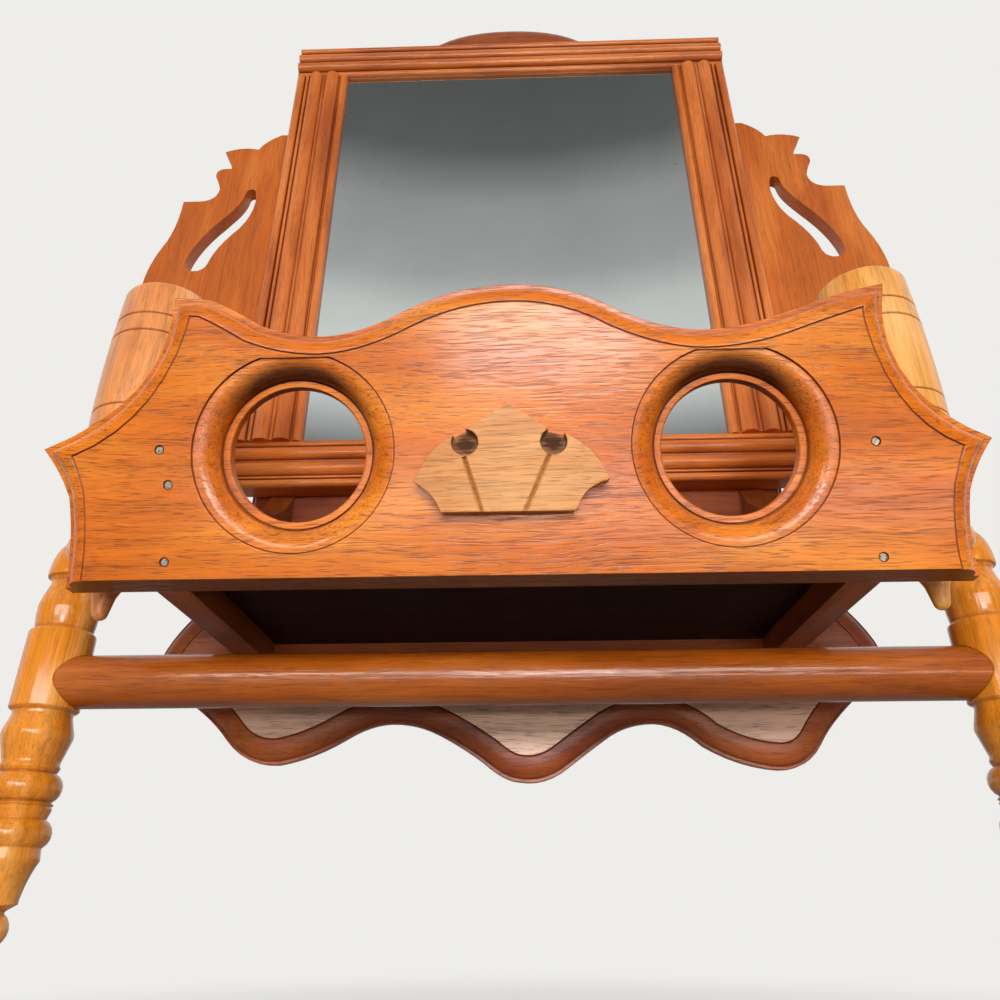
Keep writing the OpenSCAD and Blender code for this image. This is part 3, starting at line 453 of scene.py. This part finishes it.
class DressGlass(bpy.types.Operator):
    """Silver the looking glass and finish the board behind it"""
    bl_idname = "shaving_mirror.dress_glass"
    bl_label = "Looking glass"

    def execute(self, context):
        # Silvered float glass with age: a clean reflection, a faint grey-green cast, dust and a few specks
        material, tree = new_material("silvered glass")
        place = add(tree, "ShaderNodeTexCoord", out="Object")
        mm = add(tree, "ShaderNodeMapping", {"Vector": place, "Scale": (1000, 1000, 1000)})
        specks = add(tree, "ShaderNodeTexVoronoi", {"Vector": mm, "Scale": 1 / 24})
        speck = add(tree, "ShaderNodeValToRGB", {"Fac": specks},
                    stops=((0.015, grey(0.3)), (0.035, grey(1.0))))
        cloud = add(tree, "ShaderNodeTexNoise", {"Vector": mm, "Scale": 1 / 70, "Detail": 4.0})
        cast = add(tree, "ShaderNodeValToRGB", {"Fac": cloud},
                   stops=((0.3, linear("#ced3d0")), (0.7, linear("#dadedb"))))
        colour = add(tree, "ShaderNodeMix", {0: 1.0, 6: cast, 7: speck}, 2, data_type="RGBA",
                     blend_type="MULTIPLY")
        wipes = add(tree, "ShaderNodeTexNoise", {"Vector": mm, "Scale": 1 / 18, "Detail": 3.0})
        rough = add(tree, "ShaderNodeMath", {0: wipes, 1: 0.06, 2: 0.015}, operation="MULTIPLY_ADD")
        surface = add(tree, "ShaderNodeBsdfPrincipled",
                      {"Base Color": colour, "Metallic": 1.0, "Roughness": rough})
        add(tree, "ShaderNodeOutputMaterial", {"Surface": surface})
        dress("mirror_glass", material)
        # Bare softwood board, sawn: dull and pale
        board = varnished_wood("bare softwood board behind the glass", "Z",
                               (linear("#8f7048"), linear("#a88658"), linear("#b99a6c"), linear("#6f5434")),
                               seed=13, pore=0.4, gloss=0.0, hollow_shade_and_stain=0.3)
        dress("mirror_backing", board)
        return {"FINISHED"}


def worn_metal(name, bright, dull, grain_mm, rough):
    """Metal with a cloudy tarnish whose clouds are grain_mm across."""
    material, tree = new_material(name)
    place = add(tree, "ShaderNodeTexCoord", out="Object")
    mm = add(tree, "ShaderNodeMapping", {"Vector": place, "Scale": (1000, 1000, 1000)})
    cloud = add(tree, "ShaderNodeTexNoise",
                {"Vector": mm, "Scale": 1 / grain_mm, "Detail": 4.0, "Roughness": 0.6})
    colour = add(tree, "ShaderNodeValToRGB", {"Fac": cloud},
                 stops=((0.35, linear(dull)), (0.65, linear(bright))))
    roughness = add(tree, "ShaderNodeMath", {0: cloud, 1: -0.3, 2: rough + 0.15}, operation="MULTIPLY_ADD")
    bump = add(tree, "ShaderNodeBump", {"Height": cloud, "Strength": 0.4, "Distance": 0.1 * MM})
    surface = add(tree, "ShaderNodeBsdfPrincipled",
                  {"Base Color": colour, "Metallic": 1.0, "Roughness": roughness, "Normal": bump})
    add(tree, "ShaderNodeOutputMaterial", {"Surface": surface})
    return material


class DressMetal(bpy.types.Operator):
    """Finish the nails, screws, pins and hangers"""
    bl_idname = "shaving_mirror.dress_metal"
    bl_label = "Nails, screws and hangers"

    def execute(self, context):
        # Steel wire nails, drawn: grey heads with brown specks of rust
        nail = worn_metal("steel wire nail", "#c4bbb0", "#5c4a3c", 0.8, 0.4)
        for node in ("panel_nails", "box_nails"):
            dress(node, nail)
        # Plain steel wood screws and pins, bright turned: pale grey with a few dull clouds
        screw = worn_metal("plain steel screw", "#b4b3af", "#77736b", 1.4, 0.35)
        for node in ("board_screws", "box_screws", "backing_pins"):
            dress(node, screw)
        # Stamped sheet brass, handled and tarnished: yellow with broad brownish clouds
        plate = worn_metal("stamped brass", "#caa95c", "#8e6f36", 4.0, 0.3)
        for node in HANGERS:
            dress(node, plate)
        return {"FINISHED"}


# Stage. The camera's place and directions were found by laying the part's corners over the photograph's.

CAMERA_AT = Vector((0.002, -0.4353, -0.1128))
CAMERA_RIGHT = Vector((0.9996, 0.0281, -0.0038))
CAMERA_AHEAD = Vector((-0.0235, 0.8934, 0.4486))


def camera_matrix():
    """The photograph's viewing angle: from below the object's foot, looking up along it."""
    ahead = CAMERA_AHEAD.normalized()
    up = CAMERA_RIGHT.cross(ahead).normalized()
    right = ahead.cross(up)
    turn = Matrix((right, up, -ahead)).transposed()
    return Matrix.Translation(CAMERA_AT) @ turn.to_4x4()


def area_lamp(name, at, aim, size, power, colour, spread_deg=180):
    """A softbox that points from one place at another."""
    lamp = bpy.data.lights.new(name, "AREA")
    lamp.shape = "RECTANGLE"
    lamp.size, lamp.size_y = size
    lamp.energy = power
    lamp.color = colour
    lamp.spread = math.radians(spread_deg)
    piece = bpy.data.objects.new(name, lamp)
    piece.location = at
    piece.rotation_euler = (Vector(aim) - Vector(at)).to_track_quat("-Z", "Y").to_euler()
    bpy.context.scene.collection.objects.link(piece)


def seen_straight(tree, path):
    """1 for rays from the camera or through glass, otherwise 0."""
    return add(tree, "ShaderNodeMath", {0: path["Is Camera Ray"], 1: path["Is Transmission Ray"]},
               operation="MAXIMUM")


def paper_material():
    """Plain pale paper that runs into the backdrop and gives the object less light than it shows."""
    material, tree = new_material("pale paper floor")
    path = add(tree, "ShaderNodeLightPath").node.outputs
    seen = seen_straight(tree, path)
    # A quarter of its paleness shows in glossy things
    gloss = add(tree, "ShaderNodeMath", {0: path["Is Glossy Ray"], 1: 0.25, 2: seen},
                operation="MULTIPLY_ADD", use_clamp=True)
    colour = add(tree, "ShaderNodeMix", {0: gloss, 6: linear("#767472"), 7: linear("#f2f1ee")}, 2,
                 data_type="RGBA")
    paper = add(tree, "ShaderNodeBsdfPrincipled", {"Base Color": colour, "Roughness": 0.9})
    # It turns into the backdrop's own paleness between 0.45 and 1 m from the middle
    place = add(tree, "ShaderNodeTexCoord", out="Object")
    level = add(tree, "ShaderNodeVectorMath", {0: place, 1: (1, 1, 0)}, operation="MULTIPLY")
    away = add(tree, "ShaderNodeVectorMath", {0: level}, "Value", operation="LENGTH")
    far = add(tree, "ShaderNodeMapRange", {"Value": away, "From Min": 0.45, "From Max": 1.0},
              interpolation_type="SMOOTHSTEP")
    far = add(tree, "ShaderNodeMath", {0: far, 1: seen}, operation="MULTIPLY")
    glow = add(tree, "ShaderNodeEmission", {"Color": linear(PALE)})
    surface = add(tree, "ShaderNodeMixShader", {0: far, 1: paper, 2: glow})
    add(tree, "ShaderNodeOutputMaterial", {"Surface": surface})
    return material


def lay_floor(scene, drop):
    """A level sheet, drop below the part's lowest point."""
    shape = bmesh.new()
    bmesh.ops.create_grid(shape, x_segments=1, y_segments=1, size=6.0)
    bmesh.ops.translate(shape, verts=shape.verts, vec=(0, 0, CAD_BOX[0][2] - drop))
    mesh = bpy.data.meshes.new("floor")
    shape.to_mesh(mesh)
    shape.free()
    mesh.materials.append(paper_material())
    floor = bpy.data.objects.new("floor", mesh)
    scene.collection.objects.link(floor)


def light_world(scene):
    """Pale backdrop to the eye, and soft light that is stronger behind the object than in front.

    Glossy things see a dim room in front, with one bright band 35 to 40 degrees up, which the looking
    glass shows.
    """
    world = bpy.data.worlds.new("studio")
    scene.world = world
    world.use_nodes = True
    tree = world.node_tree
    tree.nodes.clear()
    pale = linear(PALE)
    path = add(tree, "ShaderNodeLightPath").node.outputs
    way = add(tree, "ShaderNodeTexCoord", out="Generated")
    along = add(tree, "ShaderNodeSeparateXYZ", {0: way}).node.outputs
    in_front = add(tree, "ShaderNodeMapRange", {"Value": along["Y"], "From Min": 0.1, "From Max": -0.45},
                   interpolation_type="SMOOTHSTEP")
    # Stops are sines of the height above the horizon
    band = add(tree, "ShaderNodeValToRGB", {"Fac": along["Z"]},
               stops=((0.3, grey(0.1)), (0.49, grey(0.16)), (0.57, grey(0.95)), (0.645, grey(0.74)),
                      (0.68, grey(0.48)), (0.735, grey(0.4)), (0.775, grey(0.14)), (0.9, grey(0.09))))
    room = add(tree, "ShaderNodeMix", {0: in_front, 6: pale, 7: band}, 2, data_type="RGBA")
    soft = add(tree, "ShaderNodeMix", {0: in_front, 6: grey(0.85), 7: grey(0.4)}, 2, data_type="RGBA")
    shade = add(tree, "ShaderNodeMix", {0: path["Is Glossy Ray"], 6: soft, 7: room}, 2, data_type="RGBA")
    shade = add(tree, "ShaderNodeMix", {0: seen_straight(tree, path), 6: shade, 7: pale}, 2,
                data_type="RGBA")
    light = add(tree, "ShaderNodeBackground", {"Color": shade})
    add(tree, "ShaderNodeOutputWorld", {"Surface": light})


def set_lamps(settings):
    """Three softboxes in front of the object."""
    # The wide key light, too high for its gloss to reach the camera from the front panel
    area_lamp("strip lamp", at=(0, -2.2, 0.38), aim=(0, -0.1, 0.08), size=(2.2, 0.39),
              power=settings.strip_power, colour=(1.0, 0.98, 0.95))
    # Its gloss lies on the panel's upper middle and along the towel rail
    area_lamp("patch lamp", at=(0.07, -1.5, 0.04), aim=(0, -0.15, 0.08), size=(0.42, 0.16),
              power=settings.patch_power, colour=(1.0, 0.98, 0.96))
    # Low and near, for the apron's face, which the towel rail keeps the other lamps from
    area_lamp("low lamp", at=(0.1, -0.8, -0.13), aim=(0, -0.01, -0.04), size=(1.4, 0.05),
              power=settings.low_power, colour=(1.0, 0.97, 0.94), spread_deg=70)


def place_camera(scene, lens):
    """A camera at the photograph's viewing angle."""
    camera = bpy.data.cameras.new("camera")
    camera.lens = lens
    camera.sensor_width = 36.0
    camera.clip_start = 0.01
    piece = bpy.data.objects.new("camera", camera)
    piece.matrix_world = camera_matrix()
    scene.collection.objects.link(piece)
    scene.camera = piece


class BuildStage(bpy.types.Operator):
    """Lay the floor, set the lamps and the world, and place the camera"""
    bl_idname = "shaving_mirror.build_stage"
    bl_label = "Stage"

    def execute(self, context):
        scene = context.scene
        settings = scene.mirror_stage
        lay_floor(scene, settings.floor_drop)
        light_world(scene)
        set_lamps(settings)
        place_camera(scene, settings.lens)
        scene.view_settings.view_transform = "Standard"
        return {"FINISHED"}


OPERATORS = (DressPanel, DressFrame, DressBackBoards, DressBox, DressCups, DressPosts, DressGlass,
             DressMetal, BuildStage)


class MirrorPanel(bpy.types.Panel):
    """Lists the shaving mirror's steps and settings"""
    bl_idname = "VIEW3D_PT_shaving_mirror"
    bl_label = "Shaving mirror"
    bl_space_type = "VIEW_3D"
    bl_region_type = "UI"
    bl_category = "Shaving mirror"

    def draw(self, context):
        layout = self.layout
        for group in (context.scene.mirror_woods, context.scene.mirror_stage):
            for name in group.__annotations__:
                layout.prop(group, name)
        for operator in OPERATORS:
            layout.operator(operator.bl_idname)


CLASSES = (WoodColours, StageSettings) + OPERATORS + (MirrorPanel,)


def register():
    for c in CLASSES:
        bpy.utils.register_class(c)
    bpy.types.Scene.mirror_woods = bpy.props.PointerProperty(type=WoodColours)
    bpy.types.Scene.mirror_stage = bpy.props.PointerProperty(type=StageSettings)


def unregister():
    del bpy.types.Scene.mirror_stage
    del bpy.types.Scene.mirror_woods
    for c in reversed(CLASSES):
        bpy.utils.unregister_class(c)


def main():
    register()
    for operator in OPERATORS:
        group, name = operator.bl_idname.split(".")
        getattr(getattr(bpy.ops, group), name)()


if __name__ == "__main__":
    main()
